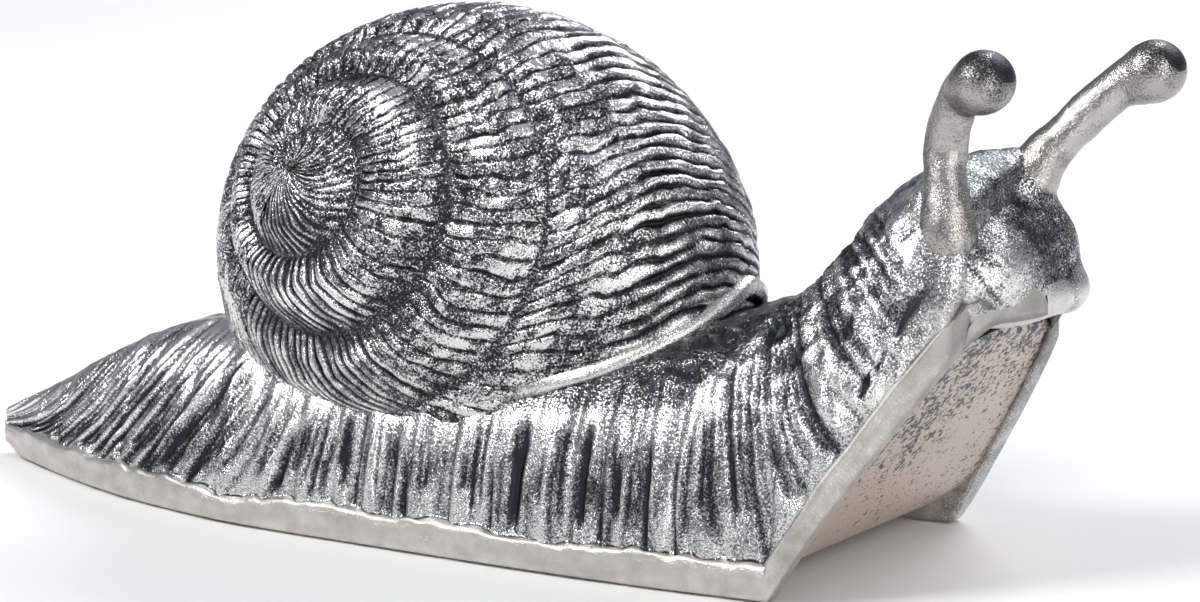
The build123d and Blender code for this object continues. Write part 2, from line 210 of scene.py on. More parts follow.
def patina_metal(name, dark, mid, bright, speckle, blotch):
    """Metal polished where wear is high, black where it is low, peppered between, and satin on the band."""
    material, tree, shader, place = new_material(name)
    wear, band, pepper = (tree.nodes.new("ShaderNodeAttribute") for _ in range(3))
    wear.attribute_name, band.attribute_name, pepper.attribute_name = "wear", "band", "pepper"
    fine = noise_node(tree, place, SPECK_SCALE, 2.0, 0.7)
    broad = noise_node(tree, place, BLOTCH_SCALE, 3.0)
    spread = tree.nodes.new("ShaderNodeMath")
    spread.operation = "MULTIPLY"
    tree.links.new(centred_node(tree, fine), spread.inputs[0])
    tree.links.new(pepper.outputs["Fac"], spread.inputs[1])
    value = sum_node(tree, wear.outputs["Fac"], spread.outputs[0], speckle)
    value = sum_node(tree, value, centred_node(tree, broad), blotch)
    tone = ramp_node(tree, value, [(BLACKENED, dark), (RUBBED, mid), (POLISHED, bright)])
    satin = ramp_node(tree, broad, [(0.3, SATIN_DIM), (0.7, SATIN_CLEAR)])
    blend = tree.nodes.new("ShaderNodeMix")
    blend.data_type = "RGBA"
    tree.links.new(band.outputs["Fac"], blend.inputs["Factor"])
    tree.links.new(tone, blend.inputs["A"])
    tree.links.new(satin, blend.inputs["B"])
    tree.links.new(blend.outputs["Result"], shader.inputs["Base Color"])
    gloss = ramp_node(tree, value, [(BLACKENED, (ROUGH_BLACK,) * 3), (POLISHED, (ROUGH_BRIGHT,) * 3)])
    rough = sum_node(tree, gloss, band.outputs["Fac"], ROUGH_SATIN)
    tree.links.new(rough, shader.inputs["Roughness"])
    shader.inputs["Metallic"].default_value = 1.0
    bump_node(tree, shader, fine, SPECK_HEIGHT, 0.6)
    return material


# Stations from the tail: place, half width, ridge height, and the skirt's lean, rise and crown
stations = np.array([
    (-3.5, 1.2, 9.0, 0.30, 0.28, 0.42),
    (5.9, 6.8, 13.5, 0.28, 0.32, 0.45),
    (23.5, 16.8, 23.5, 0.21, 0.45, 0.55),
    (45.1, 26.2, 33.0, 0.13, 0.60, 0.67),
    (74.5, 33.6, 38.0, 0.08, 0.70, 0.75),
    (109.8, 36.8, 40.0, 0.08, 0.70, 0.75),
    (145.0, 39.2, 43.0, 0.08, 0.70, 0.75),
    (172.5, 40.0, 47.5, 0.08, 0.70, 0.75),
    (188.2, 39.6, 53.5, 0.08, 0.68, 0.74),
    (203.0, 39.5, 71.5, 0.05, 0.50, 0.62),
    (211.0, 36.5, 78.0, 0.05, 0.50, 0.62),
    (220.5, 31.0, 82.0, 0.05, 0.50, 0.62),
    (227.0, 25.5, 79.0, 0.05, 0.50, 0.62),
    (230.5, 20.0, 74.0, 0.05, 0.50, 0.62),
    (233.5, 13.5, 67.5, 0.05, 0.50, 0.62),
    (235.5, 7.0, 62.5, 0.05, 0.50, 0.62),
])
SKEW = np.radians(3.6)
# Lobes of the face: centre, half sizes and turn about the upright
lobes = [
    ((226.0, -9.0, 61.5), (9.5, 10.5, 8.8), 0.0),
    ((228.0, 12.5, 62.5), (8.6, 8.0, 9.8), 0.0),
    ((231.0, -1.0, 55.0), (5.0, 17.0, 4.8), -17.0),
    ((234.4, 12.5, 55.3), (4.6, 4.6, 4.6), 0.0),
    ((227.5, 2.5, 62.0), (7.0, 13.0, 9.0), -8.0),
    ((220.6, -13.0, 72.6), (6.4, 6.2, 7.0), 0.0),
    ((225.2, 11.2, 74.2), (7.0, 6.4, 7.6), 0.0),
]
HEAD_CENTRE = np.array([216.0, 2.5, 59.0])
HEAD_LONG, HEAD_WIDE, HEAD_TALL, HEAD_DEEP = 19.6, 26.0, 18.0, 7.5
HEAD_SHIFT = 2.5
LOBE_BLEND = 1.4
HEAD_BLEND = 1.6
NECK_BAND, FOOT_BAND = 6.8, 5.8


def body_grid(columns, skirt_rows):
    """Upright sections along the foot: inner rim, rim edge, band, ledge, then a cubic skirt to the ridge."""
    first, last = stations[0, 0], stations[-1, 0]
    x = np.sort(np.append(np.linspace(first, last, columns - 1), FOOT_LENGTH))[:, None]
    half, top, lean, rise, crown = (flowing(x, stations[:, 0], stations[:, k]) for k in range(1, 6))
    slope = np.tan(np.radians(NECK_SLOPE)) * np.cos(SKEW)
    shift = HEAD_SHIFT * np.clip((x - FOOT_LENGTH) / 25.0, 0.0, 1.0)
    sides = []
    for side in (1, -1):
        edge = x - FOOT_LENGTH - (shift + side * half + FOOT_HALF_WIDTH) * np.tan(SKEW)
        low = np.clip(edge * slope, 0.0, CHIN) + 2.0 * ease(-x, -3.0, 3.5)
        wave = 0.5 * grain(x / 8.0, 3.0 * side) + 0.35 * grain(x / 2.7, 5.0 * side)
        dip = 1.4 * np.exp(-((x - 72.0) / 16.0) ** 2)
        band = np.where(edge > 0.0, NECK_BAND, FOOT_BAND) + 1.1 * wave - dip
        band = np.minimum(band, 0.45 * (top - low))
        ledge = np.minimum(1.5 + 0.8 * grain(x / 2.3, 8.0 * side), 0.2 * half)
        flush = FAR_FLUSH * (side > 0) * ease(edge, 0.0, 5.0)
        deep = np.minimum(RIM_WIDTH, half * (1 - 0.5 * ease(x, -3.0, 6.0))) + 0.2 * flush
        inner = np.linspace(1.0, 0.0, 4)[None]
        rows = [np.broadcast_to(half - deep, (len(x), 4))]
        heights = [low + flush + 6.0 * inner * ease(half, 3.0, 12.0)]
        under = np.linspace(0.1, 0.9, 4)[None]
        rows.append(half - deep * (1 - under))
        heights.append(low + flush * (1 - under))
        up = np.linspace(0.04, 0.94, 10)[None]
        rows.append(half - 0.25 * (2 * up - 1) ** 6 + 0.2 * grain(x / 5.0, 3.0 * up + side))
        heights.append(low + band * up)
        over = np.linspace(0.15, 0.85, 4)[None]
        rows.append(half - ledge * over)
        heights.append(low + band + 0.3 * ledge * np.sin(1.57 * over))
        t = np.linspace(0.0, 1.0, skirt_rows)[None]
        skirt = half - ledge
        start = low + band + 0.3 * ledge
        y = skirt * ((1 - t) ** 3 + 3 * (1 - t) ** 2 * t * (1 - lean) + 3 * (1 - t) * t * t * crown)
        rise_z = low + band + rise * (top - low - band)
        z = (1 - t) ** 3 * start + 3 * (1 - t) ** 2 * t * rise_z + (3 * (1 - t) * t * t + t ** 3) * top
        rows.append(y)
        heights.append(z)
        y = np.concatenate(rows, 1) * side + shift
        z = np.concatenate(heights, 1)
        sides.append(np.stack([np.broadcast_to(x, y.shape), y, z], -1))
    lower = sides[0].shape[1] - skirt_rows
    across = np.concatenate([np.full(lower, -1.0), np.linspace(0.0, 1.0, skirt_rows)])
    grid = np.concatenate([sides[0], sides[1][:, -2::-1]], 1)
    span = np.concatenate([across, np.where(across < 0, -1.0, 2.0 - across)[-2::-1]])
    return x, grid, np.broadcast_to(span[None], grid.shape[:2])


def head_field(points):
    """How deep points lie in the head, a round front and lobes softly joined, and their distance to each."""
    local = points - HEAD_CENTRE
    tall = np.where(local[..., 2] < 0, HEAD_DEEP, HEAD_TALL)
    local = local / np.stack([0 * tall + HEAD_LONG, 0 * tall + HEAD_WIDE, tall], -1)
    away = [(np.linalg.norm(local, axis=-1) - 1) * HEAD_TALL]
    for centre, half, turn in lobes:
        c, s = np.cos(np.radians(turn)), np.sin(np.radians(turn))
        spin = np.array([[c, s, 0.0], [-s, c, 0.0], [0.0, 0.0, 1.0]])
        place = (points - np.array(centre)) @ spin.T / np.array(half)
        away.append((np.linalg.norm(place, axis=-1) - 1) * np.mean(half))
    away = np.stack(away)
    return LOBE_BLEND * np.log(np.exp(np.clip(-away / LOBE_BLEND, -40, 40)).sum(0)), away


def leave_head(points, way, steps):
    """How far points go along their way to leave the head for good; below zero where they start outside."""
    depth = np.stack([head_field(points + way * step)[0] for step in steps])
    last = len(steps) - 2 - np.argmax(depth[-2::-1] > 0, axis=0)
    inner = np.take_along_axis(depth, last[None], 0)[0]
    outer = np.take_along_axis(depth, last[None] + 1, 0)[0]
    reach = steps[last] + (steps[1] - steps[0]) * inner / np.maximum(inner - outer, 1e-6)
    return np.where((depth[:-1] > 0).any(0), reach, depth[0])


BODY_COLUMNS, SKIRT_ROWS = 396, 88
x, grid, span = body_grid(BODY_COLUMNS, SKIRT_ROWS)
far = np.minimum(span, 2.0 - span)
on_skirt = span >= 0
t = np.where(on_skirt, far, 0.0)
# Each flute leans towards the shell on the tail, stands upright in the middle and leans back on the neck
high = np.clip((grid[..., 2] - 6.0) / np.maximum(grid[..., 2].max(1, keepdims=True) - 6.0, 1.0), 0.0, 1.0)
fan = x - 25.0 * (1 - ease(x, 60.0, 114.0)) * (high - 0.2) + 30.0 * ease(x, 172.0, 204.0) * (t - 0.2)
fan = fan + 0.8 * np.maximum(fan - FOOT_LENGTH, 0.0)
tailward = 1.0 - ease(x, 46.0, 84.0)
neckward = ease(x, 172.0, 196.0)
head = ease(x, 213.0, 224.0)
shoulder = 0.36 + 0.62 * np.maximum(tailward, neckward)
# Flutes at uneven steps from the tail to the neck; those near the solid's flutes are wider and deeper
FLUTES_FROM, FLUTES_TO = 4.0, 246.0
STEP_LEAST, STEP_MOST = 1.4, 2.9
MAIN_FIRST, MAIN_PITCH, MAIN_COUNT = 28.6, 14.0, 12
NECK_MAINS = [209.0, 222.0, 234.5]
DEEPEST = 1.6
cut = np.zeros(span.shape)
main_places = np.append(MAIN_FIRST + MAIN_PITCH * np.arange(MAIN_COUNT), NECK_MAINS)
for side in (0, 1):
    on_side = on_skirt & ((span > 1.0) == bool(side))
    columns = np.where(on_side.any(0))[0]
    part = (slice(None), slice(columns[0], columns[-1] + 1))
    place = FLUTES_FROM
    while place < FLUTES_TO:
        main = np.abs(place - main_places).min() < 1.2
        wide = rng.uniform(0.4, 0.75) + 0.25 * main
        depth = rng.uniform(0.3, 0.95) + 0.45 * main
        start = rng.uniform(-0.06, 0.10)
        stop = rng.uniform(-0.10, 0.08)
        bend = rng.uniform(-2.5, 2.5)
        off = fan[part] - place - bend * (t[part] - 0.2) - 0.5 * grain(t[part] * 7.0, place)
        end = shoulder + stop
        window = ease(t[part], start, start + 0.06) * (1 - ease(t[part], end - 0.16, end))
        cut[part] += depth * np.exp(-np.abs(off / wide) ** 1.7) * window
        place += rng.uniform(STEP_LEAST, STEP_MOST)
cut = np.minimum(cut, DEEPEST) * on_skirt * (1 - head)
reach = on_skirt * (1 - ease(t, shoulder - 0.12, shoulder + 0.02)) * (1 - head)
# Each side of the body has its own grain, 40 cells from the other's
side_shift = 40.0 * (span > 1)
streak = grain(fan / 0.9, t * 5.0 + side_shift, 2)
swell = grain(fan / 3.0, t * 4.0 + side_shift, 3)
relief = -cut + reach * (0.14 * streak + 0.35 * swell) + 0.3
# Crumpled facets on the neck and above the shoulder, and a fold where the shell's lip ends
ridge_a = 1 - np.abs(grain(x / 5.0 + 9.0 * t, 14.0 * t + side_shift, 4))
ridge_b = 1 - np.abs(grain(x / 2.4 - 6.0 * t, 20.0 * t + side_shift, 5))
crumple = neckward * ease(t, 0.22, 0.4) * (1.0 - 0.85 * head)
crumple = np.maximum(crumple, ease(x, 148.0, 170.0) * (1 - neckward) * ease(t, 0.40, 0.52))
fold = around(grid, (187.0, -19.0, 50.0), 9.0) * on_skirt
relief = relief + crumple * (0.8 * ridge_a + 0.45 * ridge_b - 0.85) * on_skirt
relief = relief + fold * (1.1 * ridge_a + 0.9 * ridge_b - 1.1)
# Leaf-shaped slits of the neck beside the strip: both ends and the half width
slits = [
    ((223.3, -23.0, 63.7), (217.9, -28.1, 52.0), 1.2),
    ((208.0, -28.0, 54.0), (206.8, -29.2, 48.0), 0.9),
    ((213.2, -30.8, 44.4), (211.7, -31.4, 39.8), 0.9),
    ((216.5, -29.5, 49.8), (214.8, -30.4, 45.4), 0.8),
]
gash = np.zeros(span.shape)
for start, end, wide in slits:
    run = np.array(end) - np.array(start)
    u = np.clip((grid - np.array(start)) @ run / (run @ run), 0.0, 1.0)
    off = np.linalg.norm(grid - np.array(start) - u[..., None] * run, axis=-1)
    leaf = np.exp(-(off / (wide * (0.35 + 0.65 * np.sin(np.pi * u)))) ** 2)
    gash = np.maximum(gash, leaf * on_skirt)
relief = relief - 1.2 * gash
relief = relief + 0.22 * grain(x / 5.0, far * 9.0 + side_shift, 6) * on_skirt * (0.5 + 0.5 * head)
# The neck swells to meet the head, whose front is a piece of its own
way = normals(grid)
front = x[:, 0] > 205.0
push = np.full(span.shape, -9.0)
push[front] = leave_head(grid[front], way[front], np.linspace(0.0, 10.0, 41))
bulge = HEAD_BLEND * np.log1p(np.exp(np.clip(push / HEAD_BLEND, -30, 30))) * on_skirt * ease(t, 0.0, 0.08)
relief = relief * (1 - ease(t, 0.9, 1.0)) + bulge * ease(x, 207.0, 214.0) * (1 - ease(x, 226.0, 231.0))
relief = relief - 2.5 * ease(x, 226.0, 231.0)
grid = grid + way * relief[..., None]
# Wear: high places are polished, flutes and the forehead stay black, and the slits are black with patina and
# painted shade
BODY_WEAR = 0.60
cheek = 1 - ease(head_field(grid)[1][1], 0.5, 2.5)
wear = BODY_WEAR - (0.40 - 0.12 * neckward) * cut + reach * (0.06 * streak + 0.08 * swell)
# Painted highlight: the tail's skirt is lightened, more towards its top, on top of its polish
wear = wear + 0.07 * tailward * on_skirt
wear = wear + tailward * on_skirt * (0.22 * ease(high, 0.1, 0.75) - 0.17 + 0.14 * streak)
wear = wear + crumple * 0.35 * (0.6 * ridge_a + 0.4 * ridge_b - 0.75)
wear = wear - 0.08 * neckward * ease(t, 0.55, 0.8) * (1 - cheek) - 0.12 * head * (1 - cheek) - 0.04 * cheek
wear = wear - 0.05 * on_skirt * ease(t, shoulder, shoulder + 0.1) * (1 - head)
STALK_SEAT, SEAT_REACH = (227.0, 9.5, 75.5), 6.0
seat = around(grid, STALK_SEAT, SEAT_REACH)
# The slits' black is patina plus painted shade of their deep undercut
wear = wear - 0.40 * gash - 0.14 * fold + 0.16 * seat + 0.02 * neckward
wear = wear - 0.06 * on_skirt * ease(x, 135.0, 165.0) * (1 - 0.7 * ease(x, 196.0, 206.0))
# Band: the rim is ground to a satin, duller up the neck, and so is the corner of the mouth
rim = np.where(on_skirt, 0.0, 1.0)
band = rim * (1 - 0.2 * ease(x, 194.0, 201.0) - 0.15 * ease(x, 216.0, 222.0))
wear = wear - 0.25 * rim * ease(x, 194.0, 201.0)
# The shelf between flutes and shell is darker and more peppered, the far strip less satin
shelf = on_skirt * ease(t, shoulder, shoulder + 0.12) * (1 - tailward) * (1 - neckward)
wear = wear - 0.18 * shelf
far_strip = np.where(on_skirt | (grid[..., 1] < 0.0), 0.0, 1.0) * ease(x, 196.0, 201.0)
band = band - 0.3 * far_strip
wear = wear + 0.12 * far_strip
band = np.maximum(band, 0.65 * ease(x, 216.0, 224.0) * on_skirt * (1 - ease(t, 0.02, 0.09)))
MOUTH_CORNER, CORNER_REACH = (227.5, -20.5, 53.5), 5.5
band = np.maximum(band, 0.8 * around(grid, MOUTH_CORNER, CORNER_REACH))
# Both ends close on a point
nose = grid[-1:].mean(1, keepdims=True) + np.array([1.2, 0.0, 0.0])
tail = grid[:1].mean(1, keepdims=True)
grid = np.concatenate([np.broadcast_to(tail, grid[:1].shape), grid, np.broadcast_to(nose, grid[:1].shape)], 0)
wear = np.concatenate([wear[:1], wear, wear[-1:]], 0)
band = np.concatenate([band[:1], band, band[-1:]], 0)
shelf = np.concatenate([shelf[:1], shelf, shelf[-1:]], 0)

BODY_BLACK = (0.03, 0.034, 0.04)
BODY_GREY = (0.27, 0.28, 0.29)
BODY_BRIGHT = (0.84, 0.84, 0.83)
body_metal = patina_metal("blackened_casting", BODY_BLACK, BODY_GREY, BODY_BRIGHT, 0.9, 0.35)
make_piece("body_skin", ground_frame(grid), grid_faces(*grid.shape[:2]),
           {"wear": wear, "band": band, "pepper": 1.0 + shelf}, body_metal, "body_casting")

# Face. The blunt front of the head, part of the body casting: two cheeks with a bridge
# between them, the smooth roll of the mouth and a round lobe at its far end.
FACE_CENTRE = np.array([225.5, 3.5, 59.5])
FACE_REACH = 36.0
FACE_WEAR = 0.43
polar = np.linspace(0.0, np.pi, 140)[:, None]
round_x = np.linspace(0.0, 2 * np.pi, 200, endpoint=False)[None]
ray = [np.cos(polar) + 0 * round_x, np.sin(polar) * np.cos(round_x), np.sin(polar) * np.sin(round_x)]
ray = np.stack(ray, -1)
reach = leave_head(FACE_CENTRE + 0 * ray, ray, np.linspace(0.0, FACE_REACH, 84))
# Four rounds of averaging with the neighbours soften the joins of the lobes
for _ in range(4):
    beside = np.roll(reach, 1, 1) + np.roll(reach, -1, 1)
    reach[1:-1] = (reach[:-2] + reach[2:] + beside[1:-1] + 2 * reach[1:-1]) / 6
reach[0], reach[-1] = reach[1].mean(), reach[-2].mean()
points = FACE_CENTRE + ray * reach[..., None]
away = head_field(points)[1]
mouth = 1 - ease(np.minimum(away[3], away[4]), 0.2, 1.6)
near_cheek = 1 - ease(away[1], 0.5, 2.5)
side_mm, up_mm = points[..., 1], points[..., 2]
pepper = grain(side_mm / 1.3, up_mm / 1.3, 11) + 0.6 * grain(side_mm / 0.6, up_mm / 0.6, 12)
# Scratches slope down from the near stalk to the mouth, beside a painted highlight on the near cheek; the
# forehead is dark
run = np.array([0.64, 0.30, -0.71])
across = np.cross(run, np.array([0.35, -0.93, 0.1]))
scratch = ease(grain(points @ across / 0.6, points @ run / 7.0, 13), 0.1, 0.6)
scratch = scratch * around(points, (229.0, -17.5, 62.5), 6.5)
# Painted highlight: a bright spot on the near cheek
spot = around(points, (233.4, -13.0, 64.3), 4.0)
brow = around(points, (233.0, 2.0, 68.0), 7.5)
face_band = np.maximum(0.7 * mouth, 0.8 * around(points, MOUTH_CORNER, CORNER_REACH))
points = points + ray * (0.10 * pepper * (1 - mouth) - 0.3 * scratch)[..., None]
seat = around(points, STALK_SEAT, SEAT_REACH)
# The near cheek is lightened a little as painted highlight, and the spot more
face_wear = FACE_WEAR + 0.16 * seat + 0.08 * near_cheek + 0.05 * pepper + 0.22 * mouth
face_wear = face_wear - 0.3 * scratch + 0.3 * spot - 0.12 * brow
make_piece("face", ground_frame(points), grid_faces(*face_wear.shape, close_cols=True),
           {"wear": face_wear, "band": face_band, "pepper": 1.2 - 0.5 * mouth},
           body_metal, "body_casting")

# Coiled shell. A hollow casting seated on the body, with five turns of a spiral groove
# and growth ribs that cross each whorl. Blackened like the body, with polished ribs.
SHELL_CENTRE = np.array([113.0, 0.0, 51.3])
SHELL_HALF = np.array([59.0, 37.0, 52.4])
SPIRE_YAW = np.radians(32.9)
SPIRE_PITCH = np.radians(24.5)
SHELL_SEAT = 14.0
LAST_WHORL = 4
TURN = 360.0
RIBS = 90.0
LAG_REACH = 75.0
COIL_FROM, COIL_TO = -250.0, 110.0
COIL_START, COIL_PITCH, COIL_OFFSET = 19.0, 21.5, 0.2
GROOVE = 2.2
BASE_ANGLE = 178.0
RIB_HEIGHT = 0.55
SHELL_WEAR = 0.39
tip_way = np.array([
    -np.sin(SPIRE_YAW) * np.cos(SPIRE_PITCH), -np.cos(SPIRE_YAW) * np.cos(SPIRE_PITCH), np.sin(SPIRE_PITCH)])
ahead_way = np.array([np.cos(SPIRE_YAW), -np.sin(SPIRE_YAW), 0.0])
over_way = np.cross(tip_way, ahead_way)


def suture(turn):
    """Angle from the tip to the groove after turn degrees: an even spiral set off centre, with one dip."""
    even = (COIL_START + COIL_PITCH * turn / TURN) * ease(turn, COIL_FROM - 1.0, -150.0)
    dip = 5.5 * np.exp(-((turn - 490.0) / 50.0) ** 2)
    return even * (1 - COIL_OFFSET * (1 - np.cos(np.radians(turn - 10.0)))) - dip


def on_shell(turn, angle, out):
    """Point at a turn and an angle from the tip on the egg-shaped shell, standing out by out millimetres."""
    a, b = np.radians(turn)[..., None], np.radians(angle)[..., None]
    way = np.cos(b) * tip_way + np.sin(b) * (np.cos(a) * ahead_way - np.sin(a) * over_way)
    rise = way / SHELL_HALF
    rise = rise / np.linalg.norm(rise, axis=-1, keepdims=True)
    return SHELL_CENTRE + SHELL_HALF * way + rise * out[..., None]


def groove_depth(turn):
    """Depth of the groove after turn degrees: deeper from the tip, then softer, gone on the last whorl."""
    start = GROOVE * ease(turn, COIL_FROM - 1.0, 60.0)
    return start - 0.9 * ease(turn, 430.0, 640.0) - 1.3 * ease(turn, 760.0, 860.0)


def rib_number(count):
    """Ribs passed after count turns: few to the first turn, then an even number to each."""
    return RIBS * (count + 1.6 * np.exp(-(count + 0.35) / 1.6))


def rib_lag(number, place, v, beyond):
    """Degrees by which a rib trails: straight near the tip, bowed on two whorls, then steady."""
    late = ease(place, 45.0, 105.0)
    if number == 0:
        return 40.0 * v
    if number < 3:
        bow = (10.0 + 14.0 * late, 5.0 * late) if number == 1 else (8.0 + 10.0 * late, 3.0 * late)
        return bow[0] * v ** 2 - bow[1] * np.sin(np.pi * v)
    slant = 0.43 + 0.46 * ease(place, -65.0, -5.0)
    return slant * LAG_REACH * np.tanh(np.maximum(beyond, 0.0) / LAG_REACH)


def whorl(number, columns, rows):
    """One turn of the coil from groove to groove, rounded and ribbed; the last runs on to the flat seat."""
    base = number == LAST_WHORL
    place = np.linspace(COIL_FROM, COIL_TO, columns)[:, None]
    turn = place + TURN * number
    v = np.linspace(0.0, 1.0, rows)[None] + 0.0 * turn
    upper = np.zeros_like(turn) if number == 0 else suture(turn - TURN)
    lower = np.full_like(turn, BASE_ANGLE) if base else suture(turn)
    v = v ** 1.3 if base else v
    angle = upper + (lower - upper) * v
    inside = 1 - ease((angle - upper) / (0.42 * np.minimum(lower - upper, 30.0) + 1e-6), 0.0, 1.0)
    outside = np.zeros_like(v) if base else ease(v, 0.58, 1.0)
    hollow = groove_depth(turn - TURN) * inside ** 1.3 + groove_depth(turn) * outside ** 1.3
    beyond = angle - suture(place + 2 * TURN)
    lag = rib_lag(number, place, v, beyond)
    ribs = rib_number((np.minimum(turn, place + 3 * TURN) + lag - COIL_FROM) / TURN)
    along = angle / 20.0
    ribs = ribs + 0.35 * grain(ribs / 4.0, 2.2 * along, 2) + 0.18 * grain(ribs / 1.3, 6.0 * along, 4)
    broad = ease(beyond, 17.0, 30.0)
    left = ease(place, 30.0, 70.0) * (number < 3)
    plain = np.maximum(broad, left)
    comb = np.abs(np.sin(np.pi * ribs))
    low = 0.06 + 0.24 * left + 0.30 * broad * (1 - ease(beyond, 22.0, 37.0))
    crest = comb ** 3 if number == 0 else ease(comb, low, low + 0.5)
    if number == 2:
        crest = crest + (ease(np.abs(np.sin(1.5 * np.pi * ribs)), low, low + 0.5) - crest) * left
    gain = RIB_HEIGHT if number == 0 else RIB_HEIGHT + 0.35 * left + 0.75 * broad
    whole = np.clip(0.75 + 0.6 * grain(ribs * 0.9, 5.0 * along, 6), 0.2, 1.3)
    near_edge = 1 - ease(angle, 120.0, 165.0)
    if number < 3:
        near_edge = near_edge * (1 - ease(v, 0.90, 1.0))
    if not base:
        near_edge = near_edge * ease(v, 0.0, 0.08)
    nick = grain(ribs * 1.9, 14.0 * along, 7) + 0.5 * grain(ribs * 3.7, 31.0 * along, 10)
    lump = 0.2 * grain(ribs / 2.0, 5.0 * along, 8) + 0.12 * nick * (1 - 0.6 * plain)
    main = np.exp(-((ribs - 3.0 * np.round(ribs / 3.0)) / 0.3) ** 2) * ease(turn, 300.0, 360.0)
    out = -hollow + near_edge * (gain * whole * (crest - 0.6) + lump - 0.3 * main)
    # Painted glints: bright dashes along the rib crests
    painted_glint = ease(grain(ribs * 0.55, 4.0 * along, 9), 0.2, 0.6) * crest * (1 - plain)
    shine = (0.24 + 0.16 * plain) * np.clip(whole, 0.5, 1.0) * (crest - 0.5) - 0.05 * main
    wear = SHELL_WEAR + 0.03 * plain + 0.03 * left + near_edge * shine
    wear = wear + near_edge * (0.12 * nick * (1 - 0.75 * plain) + 0.20 * painted_glint - 0.03 * plain)
    wear = wear - (0.05 if number == 0 else 0.10) * np.clip(hollow / 2.0, 0.0, 1.0) ** 2
    points = on_shell(turn + 0.0 * v, angle, out)
    points[..., 2] = np.maximum(points[..., 2], SHELL_SEAT)
    return points, wear, 1.6 - 1.0 * plain


SHELL_BLACK = (0.026, 0.029, 0.034)
SHELL_GREY = (0.19, 0.20, 0.205)
SHELL_BRIGHT = (0.80, 0.80, 0.79)
shell_metal = patina_metal("blackened_ribs", SHELL_BLACK, SHELL_GREY, SHELL_BRIGHT, 0.9, 0.3)
# Columns along and rows across each whorl, from the tip outwards
whorl_sizes = [(300, 40), (760, 60), (1060, 70), (1200, 70), (1200, 80)]
for number, (columns, rows) in enumerate(whorl_sizes):
    points, wear, pepper = whorl(number, columns, rows)
    make_piece("shell_whorl_%d" % (number + 1), ground_frame(points), grid_faces(*wear.shape),
               {"wear": wear, "band": 0.0 * wear, "pepper": pepper},
               shell_metal, "shell_casting")

# Shell lip. The smooth rolled edge of the shell's mouth, part of the shell casting,
# ground and polished where it arches over the neck.
LIP_LEVEL = 43.0
LIP_LIFT = 1.4
LIP_HALF = 2.3
LIP_WEAR = 0.66
LIP_RISE = np.tan(np.radians(8.7))
LIP_FALL = np.tan(np.radians(26.0))
lip_turn = np.radians(np.linspace(-78.0, 78.0, 300))[:, None]
roll = np.linspace(-1.0, 1.0, 27)[None]


def lip_line(turn, above):
    """Points of the shell round its mouth, at turn about the upright as high as a low roof plus above."""
    flat = np.stack([np.cos(turn) * SHELL_HALF[0], np.sin(turn) * SHELL_HALF[1]], -1)
    keep = 0.9 + 0.0 * turn
    for _ in range(12):
        place = flat * keep[..., None]
        roof = LIP_RISE * place[..., 0] - LIP_FALL * np.sqrt(place[..., 1] ** 2 + 9.0)
        height = LIP_LEVEL + roof + LIP_LIFT + above
        keep = np.sqrt(np.clip(1 - ((height - SHELL_CENTRE[2]) / SHELL_HALF[2]) ** 2, 0.01, 1.0))
    place = flat * keep[..., None]
    return np.stack([SHELL_CENTRE[0] + place[..., 0], place[..., 1], height], -1)


line = lip_line(lip_turn + 0.0 * roll, LIP_HALF * roll)
rise = (line - SHELL_CENTRE) / SHELL_HALF ** 2
rise = rise / np.linalg.norm(rise, axis=-1, keepdims=True)
fade = 1 - ease(np.abs(lip_turn), 0.75, 1.30)
bead = (0.6 + 1.9 * fade) * np.sqrt(np.clip(1 - roll ** 2, 0.0, 1.0)) - 0.9 + 0.5 * fade
points = line + rise * (bead + 0.2 * grain(lip_turn * 9.0, roll * 1.5))[..., None]
lip_wear = LIP_WEAR + 0.08 * grain(lip_turn * 14.0, roll * 2.0, 3)
lip_wear = lip_wear - 0.15 * (1 - fade) * (1 + ease(lip_turn, 0.4, 0.8))
fade = fade + 0.0 * lip_wear
make_piece("shell_lip", ground_frame(points), grid_faces(*lip_wear.shape),
           {"wear": lip_wear, "band": 0.5 * fade, "pepper": 1.4 - 0.6 * fade},
           body_metal, "shell_casting")

# Eye stalks. Two cast rods let into sockets on the head and pinned there, each with a
# round polished tip; the far one leans forward.
STALK = 4.1
EYE = 6.1
# Way towards the painted dark reflection on each ball
REFLECTION_WAY = np.array([0.80, -0.12, 0.58])
CROWN = np.array([0.30, -0.05, 0.95])
STALK_WEAR = 0.60
STALK_BLACK = (0.045, 0.046, 0.05)
STALK_GREY = (0.22, 0.215, 0.21)
STALK_BRIGHT = (0.42, 0.40, 0.385)
stalk_metal = patina_metal("satin_stalk", STALK_BLACK, STALK_GREY, STALK_BRIGHT, 0.7, 0.4)


